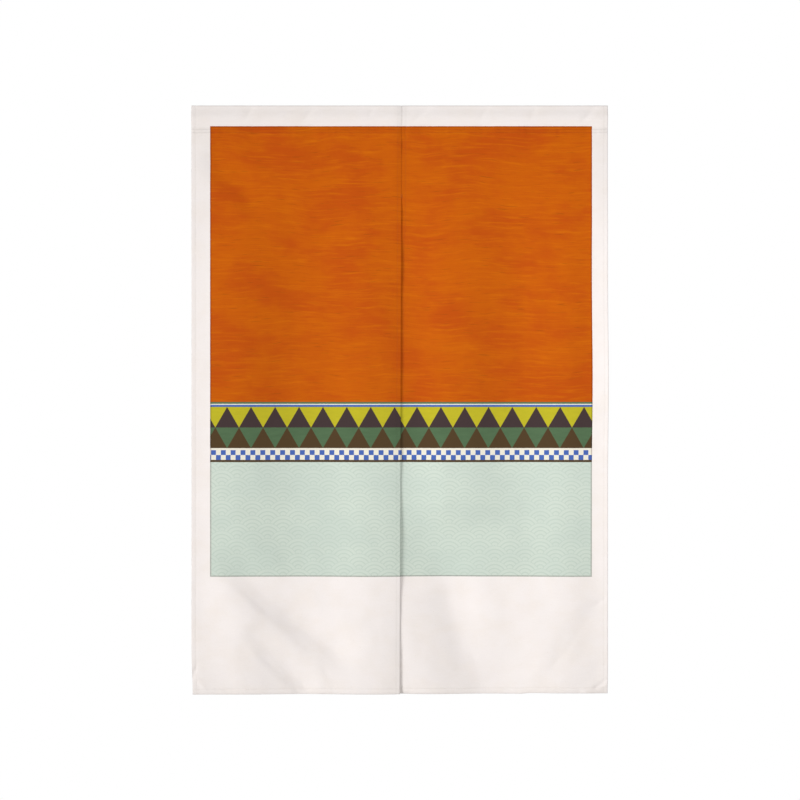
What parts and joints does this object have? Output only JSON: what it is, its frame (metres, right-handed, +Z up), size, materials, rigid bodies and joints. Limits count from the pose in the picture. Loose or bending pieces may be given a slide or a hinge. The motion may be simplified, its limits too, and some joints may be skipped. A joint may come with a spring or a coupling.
{
  "type": "noren curtain",
  "caption": "Flat hanging door curtain of two cloth panels, joined at the top with a centre slit below, with a rod pocket along the top edge and a printed field.",
  "frame": {"origin": "middle of the top edge, where the cloth folds over the rod", "axes": "+Z up, -Y out of the front of the curtain, +X to the right as seen from the front"},
  "size_m": [0.85, 0.0261, 1.2],
  "materials": {
    "printed_cloth": "matte plain-weave cotton and linen cloth, natural white with a printed field of burnt orange, sage and dark bands",
    "natural_cloth": "matte plain-weave cotton and linen cloth, natural white"
  },
  "bodies": {
    "root": {"left_panel": "printed_cloth", "right_panel": "printed_cloth", "left_heading": "natural_cloth", "right_heading": "natural_cloth"}
  },
  "joints": []
}
